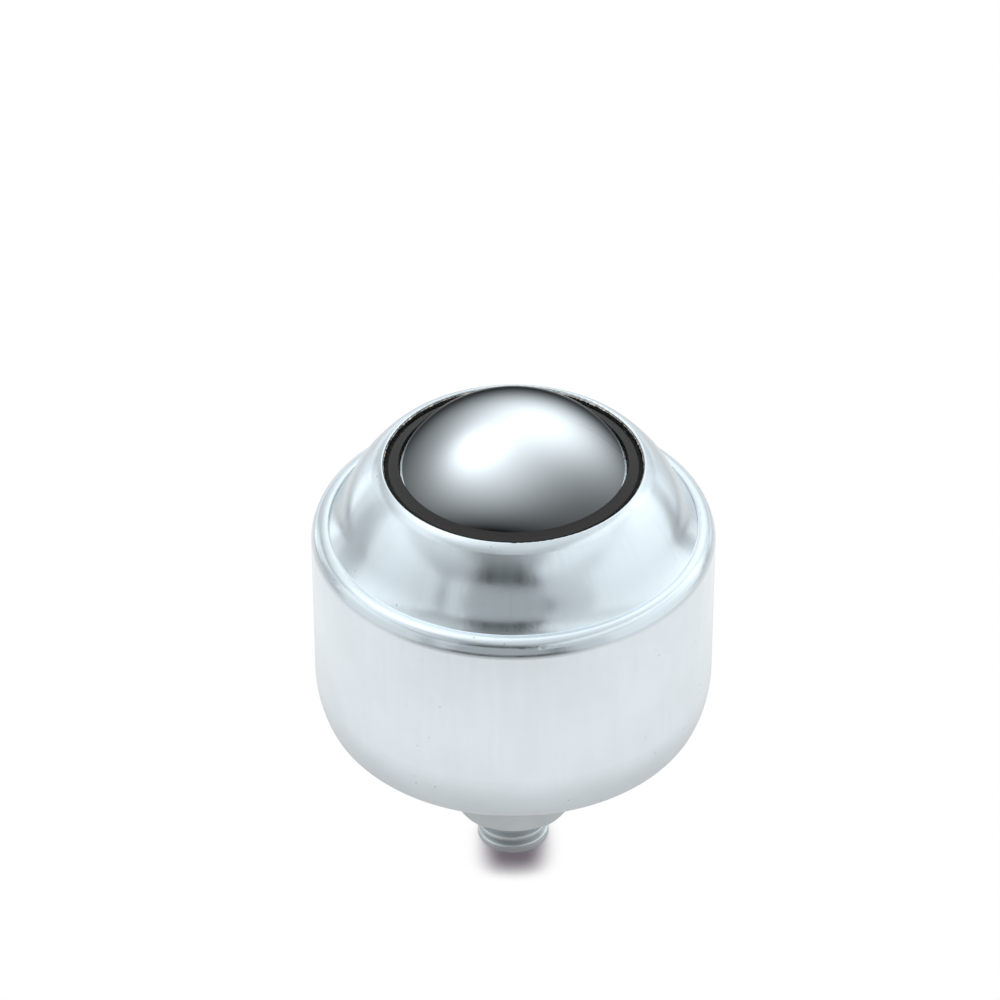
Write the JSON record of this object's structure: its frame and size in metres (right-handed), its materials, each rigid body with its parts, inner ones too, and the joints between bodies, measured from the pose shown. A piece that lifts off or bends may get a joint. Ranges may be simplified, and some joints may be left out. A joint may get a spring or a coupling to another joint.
{
  "type": "ball castor",
  "caption": "Ball castor: a polished steel ball turning on small balls in a round pressed housing with a conical cap, a wiper seal and a threaded stud with washers and nut.",
  "frame": {"origin": "centre of the stud's lower end, on the castor's axis", "axes": "+Z along the castor's axis, from the stud up through the load ball; +Y faces away from the picture's viewpoint, and flats of the nut face +Y and -Y"},
  "size_m": [0.045, 0.045, 0.0589],
  "materials": {
    "zinc_plate": "bright zinc plating on pressed sheet steel, satin",
    "fastener_zinc": "zinc plating on turned steel, duller than the housing",
    "bearing_steel": "ground hardened steel",
    "polished_ball": "mirror-polished hardened steel",
    "black_felt": "dense black felt",
    "moulded_plastic": "plain moulded plastic"
  },
  "bodies": {
    "housing": {"housing_cup": "zinc_plate", "top_cap": "zinc_plate", "race_cup": "bearing_steel", "retaining_ring": "moulded_plastic", "seal_ring": "black_felt", "stud_bolt": "fastener_zinc", "upper_flat_washer": "fastener_zinc", "lower_flat_washer": "fastener_zinc", "lock_washer": "fastener_zinc", "hex_nut": "fastener_zinc"},
    "support_balls": {"support_balls_row_1": "bearing_steel", "support_balls_row_2": "bearing_steel", "support_balls_row_3": "bearing_steel", "support_balls_row_4": "bearing_steel", "support_balls_row_5": "bearing_steel", "support_balls_row_6": "bearing_steel"},
    "load_ball": {"load_ball": "polished_ball"}
  },
  "joints": [
    {"name": "ball_spin", "type": "hinge", "parent": "housing", "child": "support_balls", "pos_m": [0, 0, 0.04394], "axis": [0, 0, 1], "continuous": true},
    {"name": "ball_roll", "type": "hinge", "parent": "support_balls", "child": "load_ball", "pos_m": [0, 0, 0.04394], "axis": [1, 0, 0], "continuous": true}
  ]
}
